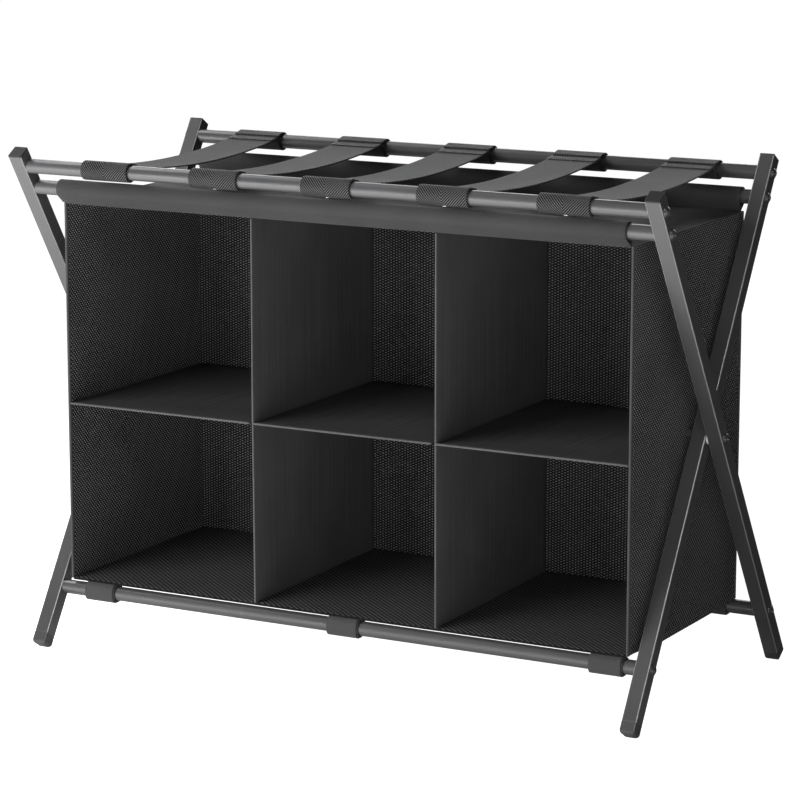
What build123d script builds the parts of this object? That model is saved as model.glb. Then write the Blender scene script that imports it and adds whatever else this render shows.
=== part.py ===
from build123d import *
from math import acos, atan2, cos, hypot, radians, sin
import os

# Folding luggage rack with a hanging fabric organiser of six compartments.
# Millimetres, +Z up, +X to the right, open side of the organiser towards -Y.
# The origin is on the floor, under the middle of the rack.

# ---- Driving dimensions ----

# The scissor frame: square legs crossed at a pivot halfway up.
rack_width = 680            # over the outer faces of the outer legs
tube_side = 15              # square leg tube
tube_wall = 1.2
tube_corner = 1.5
leg_gap = 1.2               # between an outer leg and the inner leg beside it
leg_lean = 32.2             # degrees from the vertical, each way
pivot_to_top = 285.4        # along the leg
pivot_to_foot = 290         # along the leg

# Round rails, by their place along the leg from the pivot.
rail_diameter = 14
rail_wall = 1.2
top_rail_reach = 268.5
organiser_rail_reach = 242.9
bottom_rail_reach = -226.7

# Plastic ends of the legs.
plug_plate = 1.5
plug_chamfer = 0.4
plug_stem = 10
foot_stem = 14
stem_corner = 0.6
stem_clearance = 0.05
foot_length = 12
foot_corner = 4             # radius of the two bottom edges
foot_wear = 0.3             # how far the corner is flattened where it meets the floor

# Fasteners, all M6.
bolt_diameter = 6
head_flange = 11.6
head_flange_height = 0.8
head_dome = 9.4
head_height = 3.4
socket_across_flats = 4
socket_depth = 1.8
running_clearance = 0.05
rail_bolt_grip = 16         # how far a rail bolt reaches into its insert
insert_length = 20
pivot_washer_diameter = 14
pivot_washer_thickness = 1.0
nut_across_flats = 10
nut_height = 6
head_seat_gap = 0.1         # under a pivot bolt's head, so that the leg can turn

# Straps and the loops that hold them on the top rails.
strap_count = 5
strap_pitch = 120
strap_shift = 4.5           # the row of straps sits a little to the right of the middle
strap_width = 51
strap_thickness = 1.4
strap_end_height = 231.8    # top face above the pivot, at the loops
strap_sag = 9.1
loop_bore = 14.4
loop_diameter = 18.6
strap_end_gap = 0.4

# Fabric organiser.
organiser_width = 598
organiser_depth = 251.6
organiser_top = 192         # above the pivot
organiser_bottom = -182.5   # above the pivot
side_thickness = 3
back_thickness = 3
back_inset = 8              # seam allowance of the side panels behind the back panel
top_thickness = 2
bottom_thickness = 2.5
divider_thickness = 3
shelf_thickness = 2.5
shelf_height = -5.5         # middle of the shelf, above the pivot
divider_left_x = -91
divider_right_x = 103
binding_depth = 1.2
binding_gap = 0.2           # between one length of binding and the next
hem_diameter = 18
hem_bore = 14.8
hem_gap = 0.2               # between a hem's lower edge and the panels sewn to it

# Hook-and-loop tabs round the bottom rails.
tab_width = 32
tab_pitch = 272
tab_shift = 8
tab_bore = 14.3
tab_diameter = 17.8

# ---- Worked out from them ----

lean_sin = sin(radians(leg_lean))
lean_cos = cos(radians(leg_lean))
OUTER = -1                  # outer legs lean to the front at the top
INNER = 1                   # inner legs lean to the back at the top
LEFT = -1
RIGHT = 1

foot_drop = ((pivot_to_foot - foot_corner) * lean_cos
             + (tube_side / 2 - foot_corner) * lean_sin + foot_corner)
pivot_height = foot_drop - foot_wear

outer_leg_x = rack_width / 2 - tube_side / 2
inner_leg_x = outer_leg_x - tube_side - leg_gap
tube_bore = tube_side - 2 * tube_wall
rail_bore = rail_diameter - 2 * rail_wall
bolt_hole = bolt_diameter + 2 * running_clearance

side_inner_x = organiser_width / 2 - side_thickness
front_y = -organiser_depth / 2
back_face_y = organiser_depth / 2 - back_inset - back_thickness
top_z = pivot_height + organiser_top
bottom_z = pivot_height + organiser_bottom
ceiling_z = top_z - top_thickness
floor_z = bottom_z + bottom_thickness
shelf_z = pivot_height + shelf_height

os.makedirs("parts", exist_ok=True)


def save(part, name):
    """Labels a finished piece and writes it under its own name."""
    part.label = name
    export_step(part, "parts/" + name + ".step")


def side_name(side):
    return "left" if side == LEFT else "right"


def leg_x(lean):
    """Distance of a leg's middle from the middle of the rack."""
    return outer_leg_x if lean == OUTER else inner_leg_x


def leg_plane(lean, side):
    """The plane across a leg at its pivot. Its normal runs up the leg."""
    return Plane(
        origin=(side * leg_x(lean), 0, pivot_height),
        x_dir=(1, 0, 0),
        z_dir=(0, lean * lean_sin, lean_cos),
    )


def on_leg(lean, reach):
    """(y, z) of a point on a leg's middle line, reach along it from the pivot."""
    return (lean * reach * lean_sin, pivot_height + reach * lean_cos)


def rail_points(lean):
    """(y, z) of the three rails of one frame."""
    return [on_leg(lean, reach) for reach in (top_rail_reach, organiser_rail_reach, bottom_rail_reach)]


# ---- Legs, with their top plugs and feet ----


def square_leg(lean, side):
    """Square tube, drilled through both walls at the pivot and at each rail."""
    x_middle = side * leg_x(lean)
    tube_length = pivot_to_foot - foot_length + pivot_to_top - plug_plate
    with BuildPart() as leg:
        with BuildSketch(leg_plane(lean, side).offset(foot_length - pivot_to_foot)):
            RectangleRounded(tube_side, tube_side, tube_corner)
            RectangleRounded(tube_bore, tube_bore, tube_corner - tube_wall, mode=Mode.SUBTRACT)
        extrude(amount=tube_length)
        with BuildSketch(Plane.YZ.offset(x_middle - tube_side)):
            with Locations(on_leg(lean, 0), *rail_points(lean)):
                Circle(bolt_hole / 2)
        extrude(amount=2 * tube_side, mode=Mode.SUBTRACT)
    return leg.part


def top_plug(lean, side):
    """Square cap flush with the tube, with a stem that grips the tube's inside."""
    seat = leg_plane(lean, side).offset(pivot_to_top - plug_plate)
    stem = tube_bore - 2 * stem_clearance
    with BuildPart() as plug:
        with BuildSketch(seat):
            RectangleRounded(tube_side, tube_side, tube_corner)
        extrude(amount=plug_plate)
        top_edges = plug.faces().sort_by(Axis.Z)[-1].edges()
        chamfer(top_edges, length=plug_chamfer)
        with BuildSketch(seat):
            RectangleRounded(stem, stem, stem_corner)
        extrude(amount=-plug_stem)
    return plug.part


def foot(lean, side):
    """Plastic foot: rounded front and back at the bottom, flattened where it meets the floor."""
    seat = leg_plane(lean, side).offset(foot_length - pivot_to_foot)
    stem = tube_bore - 2 * stem_clearance
    with BuildPart() as cap:
        with BuildSketch(seat):
            RectangleRounded(tube_side, tube_side, tube_corner)
        extrude(amount=-foot_length)
        end_face = cap.faces().sort_by(Axis.Z)[0]
        fillet(end_face.edges().filter_by(Axis.X), radius=foot_corner)
        with BuildSketch(seat):
            RectangleRounded(stem, stem, stem_corner)
        extrude(amount=foot_stem)
        split(bisect_by=Plane.XY, keep=Keep.TOP)
    return cap.part


for lean, frame_name in ((OUTER, "outer"), (INNER, "inner")):
    for side in (LEFT, RIGHT):
        save(square_leg(lean, side), frame_name + "_leg_" + side_name(side))
        save(top_plug(lean, side), frame_name + "_top_plug_" + side_name(side))
        save(foot(lean, side), frame_name + "_foot_" + side_name(side))


# ---- Round rails between the legs of each frame ----


def round_tube(centre, diameter, bore, x_from, x_to):
    """A tube along X, its middle line at centre (y, z)."""
    with BuildPart() as tube:
        with BuildSketch(Plane.YZ.offset(x_from)):
            with Locations(centre):
                Circle(diameter / 2)
                Circle(bore / 2, mode=Mode.SUBTRACT)
        extrude(amount=x_to - x_from)
    return tube.part


def rail_half(lean):
    """Half a rail's length: it stops at the inner faces of its legs."""
    return leg_x(lean) - tube_side / 2


whole_rails = {
    "front_top_rail": (OUTER, top_rail_reach),
    "front_organiser_rail": (OUTER, organiser_rail_reach),
    "back_bottom_rail": (OUTER, bottom_rail_reach),
    "back_top_rail": (INNER, top_rail_reach),
    "back_organiser_rail": (INNER, organiser_rail_reach),
}
for name, (lean, reach) in whole_rails.items():
    half = rail_half(lean)
    save(round_tube(on_leg(lean, reach), rail_diameter, rail_bore, -half, half), name)

# The front bottom rail is two lengths of tube over one joining sleeve, a third of the way along.
joiner_length = 60
joiner_wall = 1.5
joiner_diameter = rail_bore - 2 * stem_clearance
front_bottom = on_leg(INNER, bottom_rail_reach)
inner_half = rail_half(INNER)
rail_joint_x = -inner_half + 2 * inner_half / 3
joiner_ends = (rail_joint_x - joiner_length / 2, rail_joint_x + joiner_length / 2)
save(round_tube(front_bottom, rail_diameter, rail_bore, -inner_half, rail_joint_x), "front_bottom_rail_left")
save(round_tube(front_bottom, rail_diameter, rail_bore, rail_joint_x, inner_half), "front_bottom_rail_right")
save(
    round_tube(front_bottom, joiner_diameter, joiner_diameter - 2 * joiner_wall, *joiner_ends),
    "front_bottom_rail_joiner",
)

# ---- Threaded inserts, bolts, washers and nuts ----


def outward_plane(x, centre):
    """A plane at centre (y, z) whose normal points out of the rack, away from the middle."""
    y, z = centre
    return Plane(origin=(x, y, z), x_dir=(0, 1, 0), z_dir=(1 if x > 0 else -1, 0, 0))


def domed_bolt(shank_length, seat_gap):
    """Flanged button head with a hexagon socket. The shank runs down from the origin."""
    with BuildPart() as bolt:
        with BuildSketch(Plane.XZ):
            with BuildLine():
                Polyline(
                    (0, -shank_length),
                    (bolt_diameter / 2, -shank_length),
                    (bolt_diameter / 2, seat_gap),
                    (head_flange / 2, seat_gap),
                    (head_flange / 2, head_flange_height),
                    (head_dome / 2, head_flange_height),
                )
                TangentArc((0, head_height), (head_dome / 2, head_flange_height), tangent=(1, 0))
                Line((0, head_height), (0, -shank_length))
            make_face()
        revolve(axis=Axis.Z)
        with BuildSketch(Plane.XY.offset(head_height)):
            RegularPolygon(socket_across_flats / 2, 6, major_radius=False)
        extrude(amount=-socket_depth, mode=Mode.SUBTRACT)
    return bolt.part


def plain_ring(diameter, bore, length):
    """A round collar that runs down from the origin."""
    with BuildPart() as ring:
        with BuildSketch(Plane.XY):
            Circle(diameter / 2)
            Circle(bore / 2, mode=Mode.SUBTRACT)
        extrude(amount=-length)
    return ring.part


def hexagon_nut():
    """A nut that runs down from the origin."""
    with BuildPart() as nut:
        with BuildSketch(Plane.XY):
            RegularPolygon(nut_across_flats / 2, 6, major_radius=False)
            Circle(bolt_hole / 2, mode=Mode.SUBTRACT)
        extrude(amount=-nut_height)
    return nut.part


def repeated(piece, planes):
    """Copies of one small piece at each plane, kept as separate solids of one node."""
    with BuildPart() as group:
        with Locations(*planes):
            add(piece)
    return group.part


def at_rail_ends(lean, x):
    """Outward planes at both ends of the three rails of one frame, x from the middle."""
    return [outward_plane(side * x, point) for side in (LEFT, RIGHT) for point in rail_points(lean)]


rail_insert = plain_ring(rail_bore - 2 * stem_clearance, bolt_hole, insert_length)
rail_bolt = domed_bolt(tube_side + rail_bolt_grip, 0)
for lean, frame_name in ((OUTER, "outer"), (INNER, "inner")):
    save(repeated(rail_insert, at_rail_ends(lean, rail_half(lean))), frame_name + "_rail_inserts")
    leg_face_x = leg_x(lean) + tube_side / 2
    save(repeated(rail_bolt, at_rail_ends(lean, leg_face_x)), frame_name + "_rail_bolts")

pivot = on_leg(OUTER, 0)
pivot_shank = 2 * tube_side + leg_gap + nut_height
washer_x = inner_leg_x + tube_side / 2 + leg_gap / 2 + pivot_washer_thickness / 2
pivot_pieces = {
    "pivot_bolts": (domed_bolt(pivot_shank, head_seat_gap), rack_width / 2),
    "pivot_washers": (plain_ring(pivot_washer_diameter, bolt_hole, pivot_washer_thickness), washer_x),
    "pivot_nuts": (hexagon_nut(), inner_leg_x - tube_side / 2),
}
for name, (piece, x) in pivot_pieces.items():
    save(repeated(piece, [outward_plane(side * x, pivot) for side in (LEFT, RIGHT)]), name)

# ---- Webbing straps and their loops ----

strap_middles = [strap_shift + strap_pitch * (i - (strap_count - 1) / 2) for i in range(strap_count)]
strap_end_y = -on_leg(OUTER, top_rail_reach)[0] - loop_diameter / 2 - strap_end_gap
strap_end_z = pivot_height + strap_end_height


def strap(x_middle):
    """Flat webbing that sags in a shallow arc between the two top rails."""
    with BuildPart() as webbing:
        with BuildSketch(Plane.YZ.offset(x_middle - strap_width / 2)):
            with BuildLine():
                ThreePointArc(
                    (-strap_end_y, strap_end_z), (0, strap_end_z - strap_sag), (strap_end_y, strap_end_z)
                )
                Line((strap_end_y, strap_end_z), (strap_end_y, strap_end_z - strap_thickness))
                ThreePointArc(
                    (strap_end_y, strap_end_z - strap_thickness),
                    (0, strap_end_z - strap_sag - strap_thickness),
                    (-strap_end_y, strap_end_z - strap_thickness),
                )
                Line((-strap_end_y, strap_end_z - strap_thickness), (-strap_end_y, strap_end_z))
            make_face()
        extrude(amount=strap_width)
    return webbing.part


for number, x_middle in enumerate(strap_middles, start=1):
    save(strap(x_middle), "strap_" + str(number))
    ends = (x_middle - strap_width / 2, x_middle + strap_width / 2)
    for lean, place in ((OUTER, "front"), (INNER, "back")):
        loop = round_tube(on_leg(lean, top_rail_reach), loop_diameter, loop_bore, *ends)
        save(loop, place + "_strap_loop_" + str(number))

# ---- Hem sleeves that hang the organiser on its rails ----


def hem_sleeve(lean):
    """A drop-shaped sleeve: round over the rail, drawn down to the organiser's top edge."""
    centre_y, centre_z = on_leg(lean, organiser_rail_reach)
    tip_y = lean * organiser_depth / 2
    tip_z = top_z + hem_gap
    radius = hem_diameter / 2
    reach = hypot(tip_y - centre_y, tip_z - centre_z)
    towards_tip = atan2(tip_z - centre_z, tip_y - centre_y)
    spread = acos(radius / reach)
    tangents = [
        (centre_y + radius * cos(towards_tip + turn), centre_z + radius * sin(towards_tip + turn))
        for turn in (-spread, spread)
    ]
    with BuildPart() as sleeve:
        with BuildSketch(Plane.YZ.offset(-organiser_width / 2)):
            with Locations((centre_y, centre_z)):
                Circle(radius)
            with BuildLine():
                Polyline((centre_y, centre_z), tangents[0], (tip_y, tip_z), tangents[1], close=True)
            make_face()
            with Locations((centre_y, centre_z)):
                Circle(hem_bore / 2, mode=Mode.SUBTRACT)
        extrude(amount=organiser_width)
    return sleeve.part


save(hem_sleeve(OUTER), "front_hem_sleeve")
save(hem_sleeve(INNER), "back_hem_sleeve")

# ---- Organiser panels ----


def block(x_range, y_range, z_range):
    """A flat panel between three pairs of planes."""
    with BuildPart() as panel:
        with BuildSketch(Plane.XY.offset(z_range[0])):
            with Locations(((x_range[0] + x_range[1]) / 2, (y_range[0] + y_range[1]) / 2)):
                Rectangle(x_range[1] - x_range[0], y_range[1] - y_range[0])
        extrude(amount=z_range[1] - z_range[0])
    return panel.part


divider_half = divider_thickness / 2
whole_depth = (front_y, -front_y)
cell_depth = (front_y, back_face_y)
between_sides = (-side_inner_x, side_inner_x)
cell_height = (floor_z, ceiling_z)
shelf_z_range = (shelf_z - shelf_thickness / 2, shelf_z + shelf_thickness / 2)
columns = {
    "left": (-side_inner_x, divider_left_x - divider_half),
    "middle": (divider_left_x + divider_half, divider_right_x - divider_half),
    "right": (divider_right_x + divider_half, side_inner_x),
}
divider_ranges = {
    "left": (divider_left_x - divider_half, divider_left_x + divider_half),
    "right": (divider_right_x - divider_half, divider_right_x + divider_half),
}
side_ranges = {
    "left": (-organiser_width / 2, -side_inner_x),
    "right": (side_inner_x, organiser_width / 2),
}
save(block(between_sides, whole_depth, (ceiling_z, top_z)), "top_panel")
save(block(between_sides, (front_y, back_face_y + back_thickness), (bottom_z, floor_z)), "bottom_panel")
save(block(between_sides, (back_face_y, back_face_y + back_thickness), cell_height), "back_panel")
for name, x_range in side_ranges.items():
    save(block(x_range, whole_depth, (bottom_z, top_z)), "side_panel_" + name)
for name, x_range in divider_ranges.items():
    save(block(x_range, cell_depth, cell_height), "divider_" + name)
for name, x_range in columns.items():
    save(block(x_range, cell_depth, shelf_z_range), "shelf_" + name)

# Binding tape sewn over the front edges of the panels.
binding_depth_range = (front_y - binding_depth, front_y)
with BuildPart() as edge_binding:
    for x_range in (*side_ranges.values(), *divider_ranges.values()):
        add(block(x_range, binding_depth_range, cell_height))
    for low_x, high_x in columns.values():
        add(block((low_x + binding_gap, high_x - binding_gap), binding_depth_range, shelf_z_range))
save(edge_binding.part, "edge_binding")

# ---- Hook-and-loop tabs round the bottom rails ----

tab_ends = [
    (tab_shift + tab_pitch * i - tab_width / 2, tab_shift + tab_pitch * i + tab_width / 2) for i in (-1, 0, 1)
]
for lean, name in ((INNER, "front_hook_tabs"), (OUTER, "back_hook_tabs")):
    with BuildPart() as tabs:
        for ends in tab_ends:
            add(round_tube(on_leg(lean, bottom_rail_reach), tab_diameter, tab_bore, *ends))
    save(tabs.part, name)
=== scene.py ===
import math

import bpy
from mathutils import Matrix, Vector


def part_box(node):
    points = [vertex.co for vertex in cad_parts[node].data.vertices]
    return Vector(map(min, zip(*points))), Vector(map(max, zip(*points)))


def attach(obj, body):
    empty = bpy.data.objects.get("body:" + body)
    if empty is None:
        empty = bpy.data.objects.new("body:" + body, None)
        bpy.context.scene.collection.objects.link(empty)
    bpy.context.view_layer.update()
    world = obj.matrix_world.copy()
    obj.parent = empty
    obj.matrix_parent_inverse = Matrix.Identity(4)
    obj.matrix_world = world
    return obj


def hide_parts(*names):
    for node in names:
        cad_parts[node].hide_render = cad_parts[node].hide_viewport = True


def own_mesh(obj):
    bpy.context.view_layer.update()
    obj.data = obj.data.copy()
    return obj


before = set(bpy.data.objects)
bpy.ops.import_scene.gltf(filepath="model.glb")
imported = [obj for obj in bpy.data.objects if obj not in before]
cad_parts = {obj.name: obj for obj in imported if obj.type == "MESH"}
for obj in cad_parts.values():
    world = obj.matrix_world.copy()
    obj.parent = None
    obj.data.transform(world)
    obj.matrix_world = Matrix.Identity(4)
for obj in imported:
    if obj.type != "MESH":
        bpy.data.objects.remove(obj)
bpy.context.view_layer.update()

# ---- Stage ----
# A long lens looks slightly down on the rack from the right of its open side. The floor is plain and pale. A
# big low soft light is at the front left, a weak one by the lens, and others are overhead and behind. To the
# rack the floor carries a painted pool of light: pale and glowing in front, painted dark behind, so the legs'
# right-hand faces have something dark to mirror.

camera_dip = 11.408  # degrees below level
camera_heading = 28.257  # degrees round from the front, towards the rack's right
bpy.ops.object.camera_add(
    location=(1.4527, -2.7004, 0.8699),
    rotation=(math.radians(90 - camera_dip), 0, math.radians(camera_heading)),
)
camera = bpy.context.object
camera.name = "camera"
camera.data.sensor_width = 36
camera.data.lens = 145.916
bpy.context.scene.camera = camera
bpy.context.scene.view_settings.view_transform = "Standard"


def deselect():
    bpy.ops.object.select_all(action="DESELECT")


def add_node(tree, kind, sockets=None, **settings):
    """Adds a shader node. A socket's value is a constant, or another node's output to link from."""
    node = tree.nodes.new("ShaderNode" + kind)
    for name, value in settings.items():
        setattr(node, name, value)
    for key, value in (sockets or {}).items():
        if isinstance(value, bpy.types.NodeSocket):
            tree.links.new(value, node.inputs[key])
        else:
            node.inputs[key].default_value = value
    return node


def soft_light(name, place, aim, size, power):
    """A rectangular soft light, turned to face its aim."""
    bpy.ops.object.light_add(type="AREA", location=place)
    light = bpy.context.object
    light.name = name
    light.rotation_euler = (Vector(aim) - Vector(place)).to_track_quat("-Z", "Y").to_euler()
    light.data.shape = "RECTANGLE"
    light.data.size, light.data.size_y = size
    light.data.energy = power
    return light


rack_middle = (0, 0, 0.27)
key_light = soft_light("front_left_light", (-1.5, -2.4, 0.7), rack_middle, (2.2, 1.2), 150)
key_light.visible_glossy = False  # the coat mirrors the bright floor instead
soft_light("front_fill_light", (1.4, -2.9, 0.42), rack_middle, (1.4, 0.6), 27)
soft_light("overhead_light", (-1.8, 0.2, 2.2), rack_middle, (1.6, 1.0), 23)
soft_light("back_light", (-1.0, 2.8, 1.6), rack_middle, (4.0, 1.4), 62)
glint_light = soft_light("glint_light", (1.5, -1.8, 2.1), rack_middle, (0.7, 0.7), 45)
glint_light.visible_diffuse = False  # only picks out corners and bolt heads

world = bpy.data.worlds.new("studio")
world.use_nodes = True
studio = world.node_tree
studio.nodes.clear()
seen_white = add_node(studio, "Background", {"Color": (1, 1, 1, 1), "Strength": 1.0}).outputs[0]
room_light = add_node(studio, "Background", {"Color": (1, 1, 1, 1), "Strength": 0.05}).outputs[0]
from_lens = add_node(studio, "LightPath").outputs["Is Camera Ray"]
room = add_node(studio, "MixShader", {0: from_lens, 1: room_light, 2: seen_white})
add_node(studio, "OutputWorld", {"Surface": room.outputs[0]})
bpy.context.scene.world = world

deselect()
bpy.ops.mesh.primitive_plane_add(size=80, location=(0, 0, -0.0002))
floor = bpy.context.object
floor.name = "floor"
floor_paint = bpy.data.materials.new("pale_floor")
floor_paint.use_nodes = True
paint = floor_paint.node_tree
floor_shader = paint.nodes["Principled BSDF"]
# The floor is pure white to the lens. To the rack it carries a painted pool of light: pale and glowing in
# front, painted darker behind.
ground = add_node(paint, "TexCoord").outputs["Object"]
away = add_node(paint, "VectorMath", {0: ground, 1: (0.46, 0.86, 0)}, operation="DOT_PRODUCT")
painted_light_pool = add_node(paint, "MapRange", {0: away.outputs["Value"], 1: -0.25, 2: 0.4, 3: 0.9, 4: 0.04})
paint.links.new(painted_light_pool.outputs[0], floor_shader.inputs["Base Color"])
floor_shader.inputs["Roughness"].default_value = 0.9
floor_shader.inputs["Emission Color"].default_value = (1, 1, 1, 1)
ground_parts = add_node(paint, "SeparateXYZ", {0: ground})
# Painted glow for all but the lens: a pool of light in front of the rack, a little stronger to the left.
in_front = add_node(paint, "MapRange", {0: ground_parts.outputs[1], 1: -0.32, 2: -0.15, 3: 1.0, 4: 0.0})
to_left = add_node(paint, "MapRange", {0: ground_parts.outputs[0], 1: -0.5, 2: 0.3, 3: 1.1, 4: 1.0})
bounce = add_node(paint, "Math", {0: in_front.outputs[0], 1: to_left.outputs[0]}, operation="MULTIPLY")
seen_by_lens = add_node(paint, "LightPath").outputs["Is Camera Ray"]
glow = add_node(paint, "Mix", {0: seen_by_lens, 2: bounce.outputs[0], 3: 1.0}, data_type="FLOAT")
paint.links.new(glow.outputs[0], floor_shader.inputs["Emission Strength"])
floor.data.materials.append(floor_paint)

# ---- Scissor frame: legs and rails ----
# Four square steel legs and six round rails, cut from drawn tube and coated with satin black powder. The
# coat has a fine orange peel, is a little uneven in shade, and rubs thin along the corners that knock about.
# A thin pale line down the legs' rounded corners is a painted highlight, in the worn colour.


def new_group(name, inputs, outputs):
    """A shader node group with named sockets. Returns it with its input and output nodes."""
    group = bpy.data.node_groups.new(name, "ShaderNodeTree")
    for label, kind, value in inputs:
        socket = group.interface.new_socket(label, in_out="INPUT", socket_type="NodeSocket" + kind)
        if value is not None:
            socket.default_value = value
    for label, kind in outputs:
        group.interface.new_socket(label, in_out="OUTPUT", socket_type="NodeSocket" + kind)
    return group, group.nodes.new("NodeGroupInput"), group.nodes.new("NodeGroupOutput")


def use_group(tree, group, sockets):
    node = tree.nodes.new("ShaderNodeGroup")
    node.node_tree = group
    for key, value in sockets.items():
        if isinstance(value, bpy.types.NodeSocket):
            tree.links.new(value, node.inputs[key])
        else:
            node.inputs[key].default_value = value
    return node


def calculate(tree, operation, *values):
    """One Math node. Returns its output."""
    return add_node(tree, "Math", dict(enumerate(values)), operation=operation).outputs[0]


def make_surface_grain():
    """Fine grain of a moulded or coated skin: a broad soft wave with a fine tooth on it."""
    group, given, result = new_group(
        "surface_grain",
        [("Position", "Vector", None), ("Broad Scale", "Float", 400.0), ("Fine Scale", "Float", 2500.0)],
        [("Height", "Float"), ("Mottle", "Float")],
    )
    place, broad_scale, fine_scale = given.outputs[:3]
    broad = add_node(group, "TexNoise", {"Vector": place, "Scale": broad_scale, "Detail": 3.0})
    fine = add_node(group, "TexNoise", {"Vector": place, "Scale": fine_scale, "Detail": 2.0})
    mottle = add_node(group, "TexNoise", {"Vector": place, "Scale": 9.0, "Detail": 5.0})
    softened = calculate(group, "MULTIPLY", fine.outputs[0], 0.35)
    height = calculate(group, "ADD", broad.outputs[0], softened)
    group.links.new(height, result.inputs[0])
    group.links.new(mottle.outputs[0], result.inputs[1])
    return group


def make_edge_wear():
    """Where a corner is rubbed: the rounded normal leaves the flat one, broken up by a coarse grain."""
    group, given, result = new_group(
        "edge_wear",
        [("Position", "Vector", None), ("Radius", "Float", 0.0008), ("Amount", "Float", 0.5)],
        [("Mask", "Float")],
    )
    rounded = add_node(group, "Bevel", {"Radius": given.outputs[1]}, samples=4).outputs[0]
    flat = add_node(group, "NewGeometry").outputs["Normal"]
    same = add_node(group, "VectorMath", {0: rounded, 1: flat}, operation="DOT_PRODUCT")
    turned = calculate(group, "SUBTRACT", 1.0, same.outputs["Value"])
    breakup = add_node(group, "TexNoise", {"Vector": given.outputs[0], "Scale": 160.0, "Detail": 4.0})
    patches = add_node(group, "MapRange", {0: breakup.outputs[0], 1: 0.3, 2: 0.55, 3: 0.15, 4: 1.0})
    rubbed = add_node(group, "MapRange", {0: turned, 1: 0.01, 2: 0.12, 3: 0.0, 4: 1.0})
    worn = calculate(group, "MULTIPLY", patches.outputs[0], rubbed.outputs[0])
    mask = calculate(group, "MULTIPLY", worn, given.outputs[2])
    group.links.new(mask, result.inputs[0])
    return group


surface_grain = make_surface_grain()
edge_wear = make_edge_wear()


def new_material(name):
    """An empty material with its shader. Returns the material, its tree and the shader."""
    material = bpy.data.materials.new(name)
    material.use_nodes = True
    tree = material.node_tree
    return material, tree, tree.nodes["Principled BSDF"]


def link_bump(tree, shader, height, distance):
    bump = add_node(tree, "Bump", {"Height": height, "Distance": distance, "Strength": 1.0})
    tree.links.new(bump.outputs[0], shader.inputs["Normal"])


def grey(shade):
    """A neutral colour."""
    return (shade, shade, shade, 1)


def hard_finish(
    name, colour, wear_and_highlight_colour, roughness, metal, grain_scale, grain_depth, wear, specular=0.5, painted_corner_highlight=0.0
):
    """A coated, moulded or plated skin: mottled colour, worn corners and a fine grain. The last argument adds
    a
    painted highlight: a thin pale line, in the worn colour, down the rounded corners between a leg's sides
    and its front and back."""
    material, tree, shader = new_material(name)
    surface = add_node(tree, "TexCoord")
    place = surface.outputs["Object"]
    scales = {"Broad Scale": grain_scale, "Fine Scale": grain_scale * 5}
    grain = use_group(tree, surface_grain, {"Position": place, **scales})
    mottle = grain.outputs["Mottle"]
    worn = use_group(tree, edge_wear, {"Position": place, "Amount": wear})
    paler = tuple(min(1, 1.25 * c) for c in colour[:3]) + (1,)
    tint = add_node(tree, "Mix", {0: mottle, 6: colour, 7: paler}, data_type="RGBA")
    # Painted highlight: the worn colour laid in a thin line where the surface turns between facing X and
    # facing Y or Z.
    facing = add_node(tree, "SeparateXYZ", {0: surface.outputs["Normal"]})
    sideways = calculate(tree, "POWER", facing.outputs[0], 2.0)
    corner = calculate(tree, "MULTIPLY", sideways, calculate(tree, "SUBTRACT", 1.0, sideways))
    corner_highlight_share = add_node(tree, "MapRange", {0: corner, 1: 0.08, 2: 0.2, 3: 0.0, 4: painted_corner_highlight})
    wear_and_highlight_share = calculate(tree, "MAXIMUM", worn.outputs[0], corner_highlight_share.outputs[0])
    rubbed = add_node(tree, "Mix", {0: wear_and_highlight_share, 6: tint.outputs[2], 7: wear_and_highlight_colour}, data_type="RGBA")
    tree.links.new(rubbed.outputs[2], shader.inputs["Base Color"])
    gloss = add_node(tree, "MapRange", {0: mottle, 1: 0.3, 2: 0.7, 3: roughness - 0.05, 4: roughness + 0.07})
    tree.links.new(gloss.outputs[0], shader.inputs["Roughness"])
    shader.inputs["Metallic"].default_value = metal
    shader.inputs["Specular IOR Level"].default_value = specular
    link_bump(tree, shader, grain.outputs["Height"], grain_depth)
    return material


satin_coat = hard_finish(
    "satin_powder_coat",
    colour=(0.04, 0.04, 0.0415, 1),
    # This colour paints real edge wear and also the painted highlight line down the legs' corners.
    wear_and_highlight_colour=grey(0.26),
    roughness=0.34,
    metal=0.0,
    grain_scale=900.0,
    grain_depth=0.00005,
    wear=0.4,
    specular=1.0,
    # painted highlight down the legs' corners
    painted_corner_highlight=0.75,
)


def finish_nodes(material, names):
    """Gives carried-over CAD nodes their finish."""
    for name in names:
        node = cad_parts[name]
        node.data.materials.clear()
        node.data.materials.append(material)


sides = ("left", "right")
frames = ("outer", "inner")
finish_nodes(satin_coat, [f"{f}_leg_{s}" for f in frames for s in sides])
finish_nodes(
    satin_coat,
    [
        "front_top_rail",
        "front_organiser_rail",
        "back_bottom_rail",
        "back_top_rail",
        "back_organiser_rail",
        "front_bottom_rail_left",
        "front_bottom_rail_right",
    ],
)

# ---- Plastic ends ----
# Each leg has a flush cap pushed into its top and a rounded foot on its bottom, both moulded in black
# plastic with a fine spark texture.

moulded_plastic = hard_finish(
    "moulded_black_plastic", (0.016, 0.016, 0.017, 1), grey(0.09), 0.55, 0.0, 1500.0, 0.00004, 0.4, 0.3
)
foot_plastic = hard_finish(
    "foot_black_plastic", (0.036, 0.036, 0.037, 1), grey(0.1), 0.45, 0.0, 1200.0, 0.00004, 0.5, 0.7
)
finish_nodes(moulded_plastic, [f"{f}_top_plug_{s}" for f in frames for s in sides])
finish_nodes(foot_plastic, [f"{f}_foot_{s}" for f in frames for s in sides])

# ---- Bolts and hidden fittings ----
# Domed button-head bolts in black zinc hold the rail ends and the two pivots. Inside are zinc-plated
# inserts and a joining sleeve, and a nylon washer keeps each pair of crossed legs apart.

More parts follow.
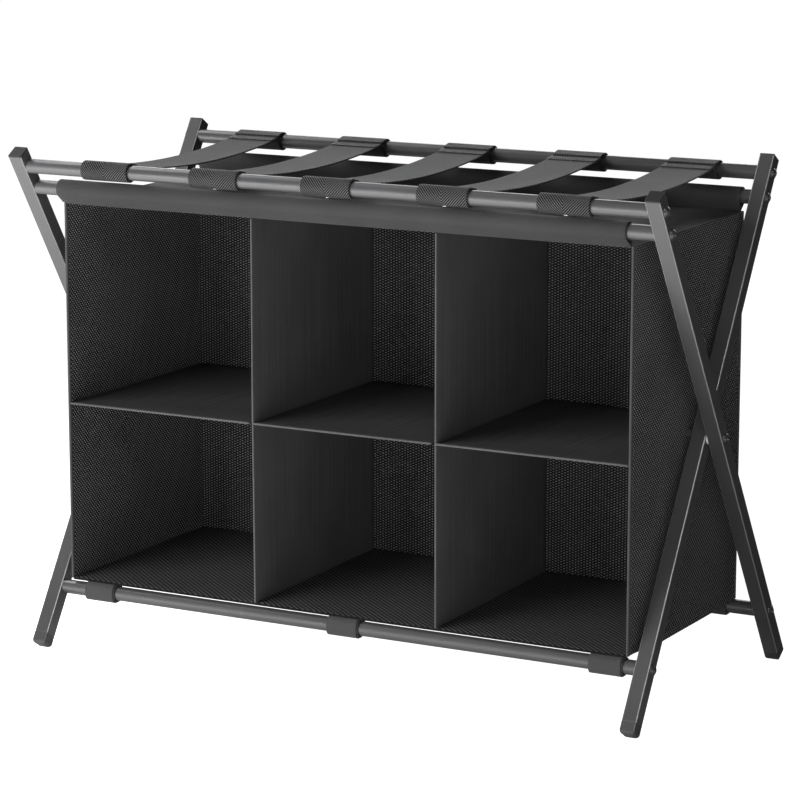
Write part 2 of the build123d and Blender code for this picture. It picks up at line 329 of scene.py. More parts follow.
black_zinc = hard_finish("black_zinc", (0.09, 0.09, 0.092, 1), grey(0.3), 0.28, 0.7, 1800.0, 0.00002, 0.8)
bright_zinc = hard_finish(
    "bright_zinc", (0.55, 0.56, 0.58, 1), (0.75, 0.75, 0.76, 1), 0.3, 1.0, 1200.0, 0.00002, 0.5
)
nylon = hard_finish(
    "natural_nylon", (0.75, 0.74, 0.7, 1), (0.8, 0.8, 0.78, 1), 0.45, 0.0, 900.0, 0.00002, 0.3
)
finish_nodes(black_zinc, ["outer_rail_bolts", "inner_rail_bolts", "pivot_bolts", "pivot_nuts"])
finish_nodes(bright_zinc, ["outer_rail_inserts", "inner_rail_inserts", "front_bottom_rail_joiner"])
finish_nodes(nylon, ["pivot_washers"])

# ---- Webbing straps ----
# Five flat polyester straps sag between the top rails. Each is one length of smooth 51 mm webbing, woven
# with fine ribs along it, and its edges curl up a little where nothing holds them.


def path_length(path):
    return sum(math.dist(a, b) for a, b in zip(path, path[1:]))


def path_point(path, share):
    """The point at a share of a polyline's length."""
    left = share * path_length(path)
    for a, b in zip(path, path[1:]):
        run = math.dist(a, b)
        if left <= run or (a, b) == (path[-2], path[-1]):
            t = left / run
            return (a[0] + (b[0] - a[0]) * t, a[1] + (b[1] - a[1]) * t)
        left -= run


def settle(piece):
    """Leaves the piece's place in its mesh, and its own origin at the frame's."""
    deselect()
    piece.select_set(True)
    bpy.context.view_layer.objects.active = piece
    bpy.ops.object.transform_apply(location=True, rotation=True, scale=True)


def apply_modifier(piece, kind, **settings):
    modifier = piece.modifiers.new(kind.title(), kind)
    for name, value in settings.items():
        setattr(modifier, name, value)
    deselect()
    piece.select_set(True)
    bpy.context.view_layer.objects.active = piece
    bpy.ops.object.modifier_apply(modifier=modifier.name)


def soften_edges(piece, width):
    sharp = math.radians(50)
    apply_modifier(piece, "BEVEL", width=width, segments=2, limit_method="ANGLE", angle_limit=sharp)


X, Y, Z = range(3)


def cloth_along(name, path, across, span, cells, thickness, material, drape=None, edge=0.0003):
    """A strip of cloth laid along a path, and across the axis X, Y or Z from span[0] to span[1].
    drape(u, v) gives how far it hangs away in X, Y and Z, in millimetres, at the share u across it and v
    along it. Its UV map is in metres."""
    deselect()
    bpy.ops.mesh.primitive_grid_add(x_subdivisions=cells[0], y_subdivisions=cells[1], size=1)
    piece = bpy.context.object
    piece.name = name
    piece.data.name = name
    length = path_length(path)
    for loop in piece.data.uv_layers[0].data:
        loop.uv = (loop.uv[0] * (span[1] - span[0]), loop.uv[1] * length)
    placed = {}
    for vertex in piece.data.vertices:
        u, v = vertex.co.x + 0.5, vertex.co.y + 0.5
        key = round(v, 5)
        if key not in placed:
            placed[key] = list(path_point(path, min(1, max(0, v))))
        place = list(placed[key])
        place.insert(across, span[0] + (span[1] - span[0]) * u)
        hang = drape(u, v) if drape else (0, 0, 0)
        vertex.co = Vector(place) + Vector(hang) / 1000
    piece.data.update()
    apply_modifier(piece, "SOLIDIFY", thickness=thickness, offset=0)
    soften_edges(piece, edge)
    bpy.ops.object.shade_smooth_by_angle(angle=math.radians(40))
    piece.data.materials.append(material)
    settle(piece)
    return piece


def make_cloth_variation():
    """Slow changes of shade over a cloth, and a scatter of paler lint."""
    group, given, result = new_group(
        "cloth_variation",
        [("Position", "Vector", None), ("Scale", "Float", 14.0)],
        [("Shade", "Float"), ("Lint", "Float")],
    )
    slow = add_node(group, "TexNoise", {"Vector": given.outputs[0], "Scale": given.outputs[1], "Detail": 4.0})
    shade = add_node(group, "MapRange", {0: slow.outputs[0], 1: 0.3, 2: 0.7, 3: 0.86, 4: 1.12})
    specks = add_node(group, "TexNoise", {"Vector": given.outputs[0], "Scale": 1300.0, "Detail": 2.0})
    lint = add_node(group, "MapRange", {0: specks.outputs[0], 1: 0.68, 2: 0.78, 3: 0.0, 4: 1.0})
    group.links.new(shade.outputs[0], result.inputs[0])
    group.links.new(lint.outputs[0], result.inputs[1])
    return group


def make_thread_lines():
    """Raised lines of thread at a slope to the cloth, mirrored about a fold line across it."""
    group, given, result = new_group(
        "thread_lines",
        [
            ("Position", "Vector", None),
            ("Fold", "Float", 0.0),
            ("Pitch", "Float", 0.0013),
            ("Slope", "Float", 1.0),
        ],
        [("Height", "Float")],
    )
    apart = add_node(group, "SeparateXYZ", {0: given.outputs[0]})
    aside = calculate(group, "ABSOLUTE", calculate(group, "SUBTRACT", apart.outputs[0], given.outputs[1]))
    climb = calculate(group, "MULTIPLY", apart.outputs[1], given.outputs[3])
    turns = calculate(group, "DIVIDE", calculate(group, "ADD", aside, climb), given.outputs[2])
    wave = calculate(group, "SINE", calculate(group, "MULTIPLY", turns, 2 * math.pi))
    rise = {0: wave, 1: 0.0, 2: 0.9, 3: 0.0, 4: 1.0}
    height = add_node(group, "MapRange", rise, interpolation_type="SMOOTHSTEP")
    group.links.new(height.outputs[0], result.inputs[0])
    return group


cloth_variation = make_cloth_variation()
thread_lines = make_thread_lines()


def cloth_finish(name, dark, light, height_of, depth, roughness, sheen, lint=0.25):
    """A cloth whose threads stand out paler than the gaps between them. height_of(tree, uv) gives their
    height."""
    material, tree, shader = new_material(name)
    coordinates = add_node(tree, "TexCoord")
    height = height_of(tree, coordinates.outputs["UV"])
    place = coordinates.outputs["Object"]
    varied = use_group(tree, cloth_variation, {"Position": place, "Scale": 14.0})
    shade = varied.outputs["Shade"]
    weave = add_node(tree, "Mix", {0: height, 6: dark, 7: light}, data_type="RGBA")
    shaded = add_node(tree, "VectorMath", {0: weave.outputs[2], "Scale": shade}, operation="SCALE")
    lint_share = calculate(tree, "MULTIPLY", varied.outputs["Lint"], lint)
    dusted = add_node(tree, "Mix", {0: lint_share, 6: shaded.outputs[0], 7: grey(0.3)}, data_type="RGBA")
    tree.links.new(dusted.outputs[2], shader.inputs["Base Color"])
    gap_roughness = min(1, roughness + 0.1)
    rough = add_node(tree, "MapRange", {0: height, 1: 0.0, 2: 1.0, 3: gap_roughness, 4: roughness - 0.05})
    tree.links.new(rough.outputs[0], shader.inputs["Roughness"])
    shader.inputs["Sheen Weight"].default_value = sheen
    shader.inputs["Sheen Roughness"].default_value = 0.5
    shader.inputs["Specular IOR Level"].default_value = 0.15
    link_bump(tree, shader, height, depth)
    return material


def lined_weave(pitch, slope, fold=0.0):
    """The weave of a cloth with raised lines of thread, its pitch and fold line in metres."""

    def weave(tree, uv):
        sizes = {"Position": uv, "Fold": fold, "Pitch": pitch, "Slope": slope}
        return use_group(tree, thread_lines, sizes).outputs[0]

    return weave


fine_ribs = lined_weave(pitch=0.0009, slope=0.12)
strap_webbing = cloth_finish(
    "strap_webbing", (0.062, 0.062, 0.064, 1), (0.098, 0.098, 0.1, 1), fine_ribs, 0.00012, 0.7, 0.03
)

strap_numbers = range(1, 6)
extra_sag = (0.4, -0.3, 0.2, -0.2, 0.3)  # mm, because no two straps hang quite alike
strap_cloth = 0.0014
strap_steps = 40  # along its sag


def curl(u, v):
    """Edges curl up a little in the middle of the span, where nothing holds them flat."""
    return (0, 0, 0.7 * abs(2 * u - 1) ** 3 * math.sin(math.pi * v))


def ride_straps(piece):
    """Rides with the straps, with a mesh of its own."""
    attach(piece, "straps")
    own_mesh(piece)


for number, sag_more in zip(strap_numbers, extra_sag):
    low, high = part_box(f"strap_{number}")
    end_z = high.z - strap_cloth / 2
    sag = high.z - low.z - strap_cloth + sag_more / 1000
    sweep = []
    for step in range(strap_steps + 1):
        share = 2 * step / strap_steps - 1
        sweep.append((share * high.y, end_z - sag * (1 - share * share)))
    strap = cloth_along(
        f"webbing_strap_{number}", sweep, X, (low.x, high.x), (16, 60), strap_cloth, strap_webbing, curl
    )
    ride_straps(strap)
    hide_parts(f"strap_{number}")

# ---- Rail loops ----
# Each strap ends in a loop of coarser herringbone twill. The loop goes right round the top rail, and its two
# ends close on the strap like a drop, sewn through. Under four of the front ones a short bar tack is coloured
# pale as a painted glint.


def drop_path(centre, radius, inward, upper_tip, lower_tip, steps=40):
    """Path of a wrap round a rail: from its upper tip, over the top and round the far side, to its lower tip.
    Tips are measured from the rail's middle, inwards and up. inward is 1 or -1 along Y."""
    tangents = []
    for tip, turn in ((upper_tip, 1), (lower_tip, -1)):
        spread = math.acos(radius / math.hypot(*tip))
        tangents.append(math.atan2(tip[1], tip[0]) + turn * spread)
    start, end = tangents[0], tangents[1] + 2 * math.pi
    round_rail = [start + (end - start) * i / steps for i in range(steps + 1)]
    points = [upper_tip]
    points += [(radius * math.cos(a), radius * math.sin(a)) for a in round_rail]
    points += [lower_tip]
    return [(centre[0] + inward * p[0], centre[1] + p[1]) for p in points]


def rail_centre(node):
    """(y, z) of a rail's middle line."""
    low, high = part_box(node)
    return ((low.y + high.y) / 2, (low.z + high.z) / 2)


herringbone = lined_weave(pitch=0.0026, slope=1.05, fold=0.0255)
loop_twill = cloth_finish(
    "loop_herringbone", grey(0.002), (0.113, 0.113, 0.115, 1), herringbone, 0.0009, 0.5, 0.0
)
black_thread = hard_finish(
    "sewing_thread", (0.05, 0.05, 0.052, 1), grey(0.09), 0.55, 0.0, 3000.0, 0.00003, 0.2
)
# The bar tacks' pale colour is a painted glint.
painted_glint_thread = hard_finish("painted_glint_thread", (0.62, 0.62, 0.6, 1), grey(0.7), 0.6, 0.0, 3000.0, 0.00003, 0.2)


def stitch_row(name, first, last, pitch, length, material):
    """Thread lying on cloth as a straight row of short stitches, their ends diving into the cloth."""
    thickness = 0.0005
    first, last = Vector(first), Vector(last)
    along = (last - first).normalized()
    deselect()
    turn = along.to_track_quat("Z", "Y").to_euler()
    bpy.ops.mesh.primitive_cylinder_add(
        vertices=6, radius=thickness / 2, depth=length, location=first, rotation=turn
    )
    row = bpy.context.object
    row.name = name
    settle(row)
    soften_edges(row, thickness * 0.35)
    bpy.ops.object.shade_smooth_by_angle(angle=math.radians(50))
    apply_modifier(
        row,
        "ARRAY",
        count=int((last - first).length / pitch) + 1,
        use_relative_offset=False,
        use_constant_offset=True,
        constant_offset_displace=along * pitch,
    )
    row.data.materials.append(material)
    return row


front_and_back = (("front", "outer_frame", 1), ("back", "inner_frame", -1))  # place, body, way in along Y
wrap_radius = 0.0084  # to the middle of the cloth, round a 14 mm rail
loop_cloth = 0.0018
loop_tips = ((0.0112, 0.006), (0.011, 0.0021))  # upper and lower, in from the rail's middle and up
lap_cloth = 0.0009
lap_start, lap_end = 0.0108, 0.0255  # from the rail's middle, inwards along the strap
lap_steps = 8
for place, body, inward in front_and_back:
    centre = rail_centre(f"{place}_top_rail")
    wrap = drop_path(centre, wrap_radius, inward, *loop_tips)
    for number in strap_numbers:
        low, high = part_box(f"{place}_strap_loop_{number}")
        width = high.x - low.x
        loop = cloth_along(
            f"rail_loop_{place}_{number}",
            wrap,
            X,
            (low.x, high.x),
            (20, 72),
            loop_cloth,
            loop_twill,
            edge=0.0004,
        )
        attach(loop, body)
        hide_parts(f"{place}_strap_loop_{number}")
        strap_low, strap_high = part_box(f"strap_{number}")
        strap_drop = strap_high.z - strap_low.z - strap_cloth
        lap_path = []
        for step in range(lap_steps + 1):
            reach = lap_start + (lap_end - lap_start) * step / lap_steps
            along_span = (abs(centre[0]) - reach) / strap_high.y
            top = strap_high.z - strap_drop * (1 - along_span * along_span)
            lap_path.append((centre[0] + inward * reach, top + 0.00055 + 0.0003 * (1 - step / lap_steps)))
        lap = cloth_along(
            f"strap_lap_{place}_{number}", lap_path, X, (low.x, high.x), (20, 10), lap_cloth, loop_twill
        )
        seam_y, seam_z = lap_path[6]
        seam_z += lap_cloth / 2
        lap_seam = stitch_row(
            f"strap_lap_seam_{place}_{number}",
            (low.x + 0.003, seam_y, seam_z),
            (high.x - 0.003, seam_y, seam_z),
            pitch=0.0032,
            length=0.0024,
            material=black_thread,
        )
        for piece in (lap, lap_seam):
            ride_straps(piece)
        if place == "front" and number > 1:
            tack_x = low.x + 0.51 * width
            tack_y, tack_z = centre[0] - 0.0034, centre[1] - 0.0088
            tack = stitch_row(
                f"loop_bar_tack_{number}",
                (tack_x - 0.0012, tack_y, tack_z),
                (tack_x + 0.0012, tack_y, tack_z),
                pitch=0.0008,
                length=0.0012,
                material=painted_glint_thread,
            )
            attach(tack, body)

# ---- Hem sleeves ----
# The organiser hangs by two sleeves of smooth polyester, folded over the organiser rails and drawn down to
# the top panel's edges, where the two layers are sewn together.

smooth_cloth = lined_weave(pitch=0.0006, slope=1.0)
hem_cloth = cloth_finish(
    "hem_polyester",
    (0.026, 0.026, 0.027, 1),
    (0.035, 0.035, 0.036, 1),
    smooth_cloth,
    0.00005,
    0.65,
    0.05,
    lint=0.12,
)
hem_thickness = 0.0011


def ease(u, v):
    """Cloth that isn't pulled quite evenly along the rail."""
    return (0, 0.4 * math.sin(9.0 * u + 2.0 * v) * math.sin(math.pi * v), 0)


for place, body, inward in front_and_back:
    low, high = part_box(f"{place}_hem_sleeve")
    centre = rail_centre(f"{place}_organiser_rail")
    tip_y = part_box("top_panel")[0].y
    drawn_in, drawn_down = abs(centre[0]) - abs(tip_y), low.z - centre[1]
    two_tips = (drawn_in + 0.0008, drawn_down), (drawn_in - 0.0003, drawn_down)
    folded = drop_path(centre, wrap_radius, inward, *two_tips)
    sleeve = cloth_along(
        f"{place}_hem", folded, X, (low.x, high.x), (120, 60), hem_thickness, hem_cloth, ease
    )
    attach(sleeve, body)
    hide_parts(f"{place}_hem_sleeve")
    rail = f"{place}_organiser_rail"

# ---- Top panel ----
# The organiser's roof is the same smooth polyester. It runs from hem to hem, and dips a little between the
# sides and the dividers that hold it up.


def between(edges, x):
    """0 at each edge and 1 half way between two of them."""
    for low, high in zip(edges, edges[1:]):
        if low <= x <= high:
            return math.sin(math.pi * (x - low) / (high - low)) ** 2
    return 0


def flatten(piece):
    """Gives a piece of the organiser's cloth a mesh of its own."""
    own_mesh(piece)


def organiser_sheet(piece, node):
    """The frame calls that every panel of the organiser shares."""
    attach(piece, "organiser")
    flatten(piece)
    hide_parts(node)


def middle(node, axis):
    low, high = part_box(node)
    return (low[axis] + high[axis]) / 2


def level_path(low, high):
    """A straight path from front to back, half way up a node's box."""
    return [(low.y + (high.y - low.y) * i / 10, (low.z + high.z) / 2) for i in range(11)]


def upright_path(aside, low, high):
    """A straight path up a node's box, at one place aside."""
    return [(aside, low.z + (high.z - low.z) * i / 12) for i in range(13)]


low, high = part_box("top_panel")
sewn_wider = Vector((0.0034, 0, 0))  # the box is sewn a little wider than its hems, all of it on the right
high = high + sewn_wider
upright_x = [low.x, middle("divider_left", X), middle("divider_right", X), high.x]
turned_up = (low.z + high.z) / 2 + 0.004  # the ends are sewn up inside the hems
roof_path = [(low.y, turned_up)] + level_path(low, high) + [(high.y, turned_up)]


def roof_dip(u, v):
    x = low.x + (high.x - low.x) * u
    return (0, 0, -1.6 * between(upright_x, x) * math.sin(math.pi * v) - 0.25 * math.sin(5 * math.pi * v))


roof_thickness = 0.0012
roof = cloth_along("roof_cloth", roof_path, X, (low.x, high.x), (96, 86), roof_thickness, hem_cloth, roof_dip)
organiser_sheet(roof, "top_panel")

# ---- Side, back and bottom panels ----
# Fibreboard covered in coarse oxford cloth, whose floats stand out as staggered pale dashes. The sides reach
# a seam's width behind the back panel, and their lower edges hang a little slack.


def make_staggered_floats():
    """Raised floats of a coarse weave, staggered like bricks, with a dark gap round each."""
    group, given, result = new_group(
        "staggered_floats",
        [
            ("Position", "Vector", None),
            ("Across", "Float", 0.006),
            ("Along", "Float", 0.0026),
            ("Length Share", "Float", 0.45),
        ],
        [("Height", "Float")],
    )
    apart = add_node(group, "SeparateXYZ", {0: given.outputs[0]})
    column = calculate(group, "DIVIDE", apart.outputs[0], given.outputs[1])
    row = calculate(group, "DIVIDE", calculate(group, "MULTIPLY", apart.outputs[1], 2.0), given.outputs[2])
    parity = calculate(group, "FLOORED_MODULO", calculate(group, "FLOOR", row), 2.0)
    staggered = calculate(group, "ADD", column, calculate(group, "MULTIPLY", parity, 0.5))
    across = calculate(group, "SUBTRACT", calculate(group, "FRACT", staggered), 0.5)
    along = calculate(group, "SUBTRACT", calculate(group, "FRACT", row), 0.5)
    across_share = calculate(group, "DIVIDE", calculate(group, "ABSOLUTE", across), given.outputs[3])
    along_share = calculate(group, "MULTIPLY", calculate(group, "ABSOLUTE", along), 2.0)
    across_squared = calculate(group, "POWER", across_share, 2.0)
    along_squared = calculate(group, "POWER", along_share, 2.0)
    rounded = calculate(group, "ADD", across_squared, along_squared)
    uneven = add_node(group, "TexNoise", {"Vector": given.outputs[0], "Scale": 420.0, "Detail": 2.0})
    lower = calculate(group, "ADD", rounded, calculate(group, "MULTIPLY", uneven.outputs[0], 0.5))
    fall = {0: lower, 1: 0.25, 2: 1.05, 3: 1.0, 4: 0.0}
    height = add_node(group, "MapRange", fall, interpolation_type="SMOOTHSTEP")
    group.links.new(height.outputs[0], result.inputs[0])
    return group


staggered_floats = make_staggered_floats()


def oxford_cloth(name, across, along, length_share, dark, light):
    def weave(tree, uv):
        sizes = {"Position": uv, "Across": across, "Along": along, "Length Share": length_share}
        return use_group(tree, staggered_floats, sizes).outputs[0]

    gap_colour = (dark, dark, dark * 1.03, 1)
    float_colour = (light, light, light * 1.02, 1)
    return cloth_finish(name, gap_colour, float_colour, weave, 0.0004, 0.7, 0.02, lint=0.3)


# One oxford cloth in three copies whose shades are painted light and shade: the sides' floats painted palest,
# the bottom's darkest, set panel by panel for the light each gets.
side_oxford = oxford_cloth("side_oxford", 0.0042, 0.0042, 0.36, dark=0.004, light=0.32)
back_oxford = oxford_cloth("back_oxford", 0.00626, 0.0027, 0.24, dark=0.012, light=0.27)
bottom_oxford = oxford_cloth("bottom_oxford", 0.00626, 0.0054, 0.3, dark=0.004, light=0.19)

board = 0.0022  # covered board
edge_slack = ((-0.126, -1.7), (-0.042, 3.1), (0.074, 3.8), (0.126, 2.5))  # (y, mm that a lower edge hangs)


def slack_at(y):
    """How far a side's lower edge hangs at y, in millimetres, eased from one place to the next."""
    for (y0, d0), (y1, d1) in zip(edge_slack, edge_slack[1:]):
        if y <= y1:
            t = min(1, max(0, (y - y0) / (y1 - y0)))
            return d0 + (d1 - d0) * t * t * (3 - 2 * t)
    return edge_slack[-1][1]


def slack_share(up_share):
    """How much of the slack is left at a share of the height: all at the edge, none above a sixth."""
    return max(0, 1 - 6 * up_share) ** 2


left_and_right = (("left", -1), ("right", 1))  # side, way out along X
front_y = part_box("side_panel_left")[0].y
back_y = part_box("side_panel_left")[1].y
side_x = {}
side_shift = {"left": 0.0008, "right": sewn_wider.x}
side_belly = {"left": 1.1, "right": 0.1}  # mm outwards; the right one has the pivot nut close beside it
for side, outward in left_and_right:
    low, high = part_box(f"side_panel_{side}")
    side_x[side] = (low.x + high.x) / 2 + side_shift[side]
    up = upright_path(side_x[side], low, high)

    def side_hang(u, v):
        """A slight outward belly, ripples near the sewn edges, and the slack lower edge."""
        y = low.y + (high.y - low.y) * u
        belly = side_belly[side] * math.sin(math.pi * u) * math.sin(math.pi * v)
        ripple = 0.35 * math.sin(26 * v + 3 * u) * (1 - math.sin(math.pi * u)) ** 2
        return (outward * (belly + ripple), 0, -slack_at(y) * slack_share(v))

    panel = cloth_along(
        f"side_cloth_{side}", up, Y, (low.y, high.y), (48, 72), board, side_oxford, side_hang, edge=0.0005
    )
    organiser_sheet(panel, f"side_panel_{side}")

low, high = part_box("back_panel")
high = high + sewn_wider
back_path = upright_path(middle("back_panel", Y), low, high)


def back_belly(u, v):
    x = low.x + (high.x - low.x) * u
    return (0, between(upright_x, x) * math.sin(2 * math.pi * v) ** 2, 0)


back = cloth_along("back_cloth", back_path, X, (low.x, high.x), (96, 60), board, back_oxford, back_belly)
organiser_sheet(back, "back_panel")

low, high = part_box("bottom_panel")
high = high + sewn_wider


def bottom_dip(u, v):
    x = low.x + (high.x - low.x) * u
    return (0, 0, -1.2 * between(upright_x, x) * math.sin(math.pi * v) ** 2)


bottom = cloth_along(
    "bottom_cloth", level_path(low, high), X, (low.x, high.x), (96, 30), board, bottom_oxford, bottom_dip
)
organiser_sheet(bottom, "bottom_panel")

# ---- Dividers and shelves ----
# Two dividers and three shelves make the six compartments. They are card in smooth non-woven cloth, which
# shows faint streaks from its pressing, and each leans or dips a little where it isn't sewn.


def make_streaks():
    """Long faint streaks along a cloth, finer across than along."""
    group, given, result = new_group(
        "cloth_streaks",
        [("Position", "Vector", None), ("Across Scale", "Float", 500.0), ("Along Scale", "Float", 6.0)],
        [("Height", "Float")],
    )
    apart = add_node(group, "SeparateXYZ", {0: given.outputs[0]})
    across = calculate(group, "MULTIPLY", apart.outputs[0], given.outputs[1])
    along = calculate(group, "MULTIPLY", apart.outputs[1], given.outputs[2])
    drawn_out = add_node(group, "CombineXYZ", {0: across, 1: along})
    streaks = add_node(group, "TexNoise", {"Vector": drawn_out.outputs[0], "Scale": 1.0, "Detail": 4.0})
    sharper = add_node(group, "MapRange", {0: streaks.outputs[0], 1: 0.25, 2: 0.75, 3: 0.0, 4: 1.0})
    group.links.new(sharper.outputs[0], result.inputs[0])
    return group


cloth_streaks = make_streaks()


def streaked(tree, uv):
    return use_group(tree, cloth_streaks, {"Position": uv}).outputs[0]


nonwoven = cloth_finish(
    "nonwoven_cloth", (0.056, 0.056, 0.058, 1), (0.08, 0.08, 0.082, 1), streaked, 0.00006, 0.75, 0.0, lint=0.1
)
card = 0.0013
divider_leans = {"left": (2.1, 1.9, 2.9), "right": (2.8, 2.8, 3.1)}  # mm right at top, shelf, bottom


def lean_at(side, up_share):
    """How far a divider's front edge leans at a share of its height, in millimetres."""
    at_top, at_shelf, at_bottom = divider_leans[side]
    if up_share < 0.5:
        return at_bottom + (at_shelf - at_bottom) * 2 * up_share
    return at_shelf + (at_top - at_shelf) * (2 * up_share - 1)


for side in sides:
    node = f"divider_{side}"
    low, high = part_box(node)

    def divider_hang(u, v):
        """The front edge leans and the cloth waves; the back edge is sewn straight."""
        wave = 0.6 * math.sin(2 * math.pi * v) * math.sin(math.pi * u)
        return ((1 - u) ** 1.5 * lean_at(side, v) + wave, 0, 0)

    divider = cloth_along(
        f"divider_cloth_{side}",
        upright_path(middle(node, X), low, high),
        Y,
        (low.y, high.y),
        (30, 60),
        card,
        nonwoven,
        divider_hang,
        edge=0.0004,
    )
    organiser_sheet(divider, node)


def shelf_dip(u, v):
    return (0, 0, -1.3 * math.sin(math.pi * u) ** 2 * v - 0.5 * v)


columns = ("left", "middle", "right")


def shelf_box(column):
    """A shelf's box, the right one reaching to the side panel that is sewn further out."""
    low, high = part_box(f"shelf_{column}")
    return (low, high + sewn_wider) if column == "right" else (low, high)


for column in columns:
    low, high = shelf_box(column)
    shelf = cloth_along(
        f"shelf_cloth_{column}",
        level_path(low, high),
        X,
        (low.x, high.x),
        (32, 30),
        card,
        nonwoven,
        shelf_dip,
        edge=0.0004,
    )
    organiser_sheet(shelf, f"shelf_{column}")

# ---- Edge binding ----
# Narrow grey tape, folded over the raw front edges of the sides, dividers and shelves, and over the back
# edges of the sides, and sewn through.

tape_ribs = lined_weave(pitch=0.0008, slope=0.0)


def tape_cloth(name, dark, light, roughness, sheen):
    gap_colour = (dark, dark, dark + 0.001, 1)
    return cloth_finish(name, gap_colour, light, tape_ribs, 0.0001, roughness, sheen)


# One tape in three shades as painted light and shade: the divider and shelf tape, facing the front light, is
# painted palest, the tape on the sides' front edges darker, and the tape on their back edges darkest.
grey_tape = tape_cloth("grey_tape", 0.055, (0.085, 0.085, 0.087, 1), 0.65, 0.05)
side_tape = tape_cloth("side_tape", 0.038, (0.06, 0.06, 0.061, 1), 0.65, 0.05)
back_tape_painted_darker = tape_cloth("back_tape_painted_darker", 0.03, (0.055, 0.055, 0.056, 1), 0.62, 0.2)


def fold_over(middle_at, edge_at, outward, half, wrap):
    """U-shaped path round an edge: middle_at across it, edge_at its outermost line, outward 1 or -1."""
    arc = [math.pi * i / 8 for i in range(9)]
    points = [(middle_at - half, edge_at - outward * (half + wrap))]
    points += [(middle_at - half * math.cos(a), edge_at - outward * half * (1 - math.sin(a))) for a in arc]
    points += [(middle_at + half, edge_at - outward * (half + wrap))]
    return points


tape = 0.00025
tape_wraps = {"front": 0.0014, "back": 0.005, "cell": 0.001}  # how far each tape reaches over the cloth
side_tape_gap = 0.0006  # the tape's fold stands this far off a side's edge
cell_tape_gap = 0.0004
bindings = []


def front_hang(u, v):
    """The tape follows the slack lower edge of the side it is sewn to."""
    return (0, 0, -slack_at(front_y) * slack_share(u))


def back_hang(u, v):
    return (0, 0, -slack_at(back_y) * slack_share(u))


def tape_along(name, path, across, span, cells, material, hang=None):
    binding = cloth_along(name, path, across, span, cells, tape, material, hang, edge=0.0001)
    bindings.append(binding)
    return binding


for side in sides:
    low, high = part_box(f"side_panel_{side}")
    half = board / 2 + tape
    front_fold = fold_over(side_x[side], front_y - side_tape_gap, -1, half, tape_wraps["front"])
    back_fold = fold_over(side_x[side], back_y + side_tape_gap, 1, half, tape_wraps["back"])
    tape_along(f"front_binding_{side}", front_fold, Z, (low.z, high.z), (72, 24), side_tape, front_hang)
    back_binding = tape_along(
        f"back_binding_{side}", back_fold, Z, (low.z, high.z), (72, 24), back_tape_painted_darker, back_hang
    )
for side in sides:

    def binding_lean(u, v):
        return (lean_at(side, u), 0, 0)

    low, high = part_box(f"divider_{side}")
    edge_fold = fold_over(
        middle(f"divider_{side}", X), front_y - cell_tape_gap, -1, card / 2 + tape, tape_wraps["cell"]
    )
    tape_along(f"divider_binding_{side}", edge_fold, Z, (low.z, high.z), (60, 24), grey_tape, binding_lean)
for column in columns:
    low, high = shelf_box(column)
    edge_fold = fold_over(
        (low.z + high.z) / 2, front_y - cell_tape_gap, -1, card / 2 + tape, tape_wraps["cell"]
    )
    shelf_fold = [(y, z) for z, y in edge_fold]
    tape_along(
        f"shelf_binding_{column}", shelf_fold, X, (low.x + 0.0008, high.x - 0.0008), (32, 24), grey_tape
    )
for binding in bindings:
    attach(binding, "organiser")
    flatten(binding)
    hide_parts("edge_binding")

# ---- Seams ----
# Rows of black polyester thread: up each side near its front edge and just behind the back panel, and through
# the two layers of each hem where they meet the top panel.

seam_pitch = 0.0038
seam_length = 0.0028


def joined(name, pieces):
    """Joins pieces that are sewn as one."""
    deselect()
    for piece in pieces:
        piece.select_set(True)
    bpy.context.view_layer.objects.active = pieces[0]
    bpy.ops.object.join()
    whole = bpy.context.object
    whole.name = name
    return whole


for side, outward in left_and_right:
    low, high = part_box(f"side_panel_{side}")
    face = side_x[side] + outward * (board / 2 + 0.0001)
    rows = []
    for y in (back_y - 0.0092, front_y + 0.0042):
        ends = (face, y, low.z + 0.008), (face, y, high.z - 0.006)
        rows.append(stitch_row(f"side_seam_{side}", *ends, seam_pitch, seam_length, black_thread))
    seam = joined(f"side_seams_{side}", rows)
    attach(seam, "organiser")
    flatten(seam)

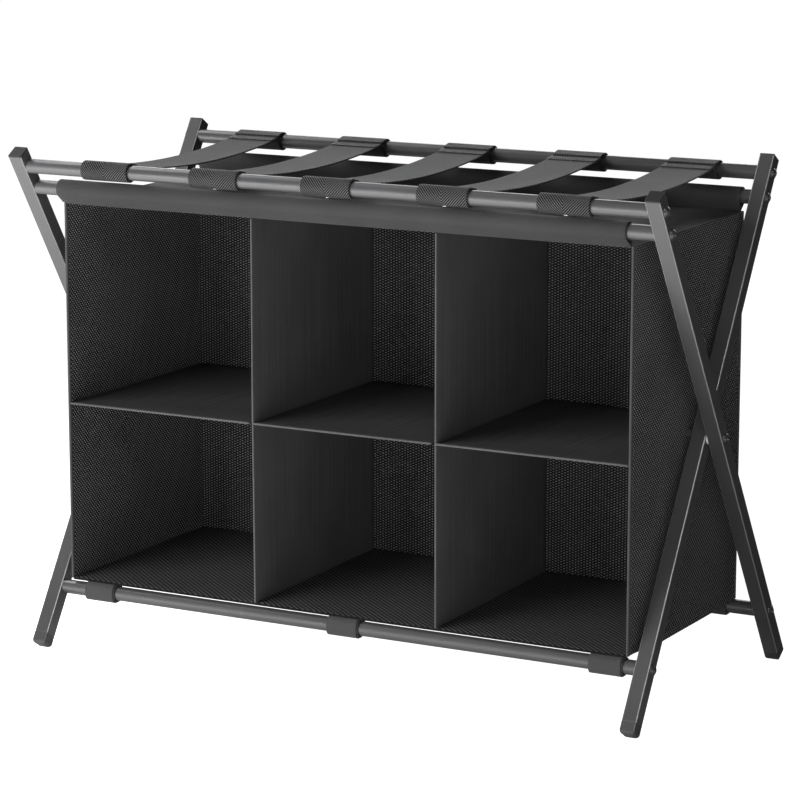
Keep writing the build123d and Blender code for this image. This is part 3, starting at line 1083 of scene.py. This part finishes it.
for place, body, inward in front_and_back:
    low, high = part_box(f"{place}_hem_sleeve")
    hem_y = inward * (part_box("top_panel")[0].y - 0.0014)
    hem_z = low.z + 0.0032
    ends = (low.x + 0.003, hem_y, hem_z), (high.x - 0.003, hem_y, hem_z)
    seam = stitch_row(f"hem_seam_{place}", *ends, seam_pitch, seam_length, black_thread)
    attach(seam, body)

# ---- Hook-and-loop tabs ----
# Six short tabs hold the organiser's lower edges to the bottom rails, three in front and three behind. Each
# is a smooth band pressed shut round the rail, with the loose end lapping the fixed one a little to one side.


def felted(tree, uv):
    scales = {"Broad Scale": 700.0, "Fine Scale": 3200.0}
    return use_group(tree, surface_grain, {"Position": uv, **scales}).outputs[0]


hook_tape = cloth_finish(
    "hook_tape", (0.024, 0.024, 0.025, 1), (0.044, 0.044, 0.045, 1), felted, 0.00015, 0.75, 0.1, lint=0.1
)


def squared_ring(centre, half, corner, start, sweep, steps=56):
    """Path round a rail, a little flattened on its four sides. Angles are in degrees, up from +Y."""
    points = []
    for i in range(steps + 1):
        angle = math.radians(start + sweep * i / steps)
        c, s = math.cos(angle), math.sin(angle)
        reach = half / (abs(c) ** corner + abs(s) ** corner) ** (1 / corner)
        points.append((centre[0] + reach * c, centre[1] + reach * s))
    return points


tab_cloth = 0.0011
tab_width = 0.032
tab_askew = 0.0012
tab_rails = (
    ("front", "inner_frame", "front_bottom_rail_left", 1),
    ("back", "outer_frame", "back_bottom_rail", -1),
)
for place, body, rail, inward in tab_rails:
    low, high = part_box(f"{place}_hook_tabs")
    centre = rail_centre(rail)
    tab_pitch = (high.x - low.x - tab_width) / 2
    under = squared_ring(centre, 0.0078, 2.6, 80, inward * 350)
    over = squared_ring(centre, 0.0089, 2.8, 95, inward * 210)
    for number in range(3):
        left = low.x + tab_pitch * number
        right = left + tab_width
        fixed_end = cloth_along(
            f"{place}_tab_band_{number + 1}",
            under,
            X,
            (left + tab_askew, right + tab_askew),
            (14, 64),
            tab_cloth,
            hook_tape,
        )
        loose_end = cloth_along(
            f"{place}_tab_flap_{number + 1}", over, X, (left, right), (14, 64), tab_cloth, hook_tape
        )
        for piece in (fixed_end, loose_end):
            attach(piece, body)
            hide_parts(f"{place}_hook_tabs")
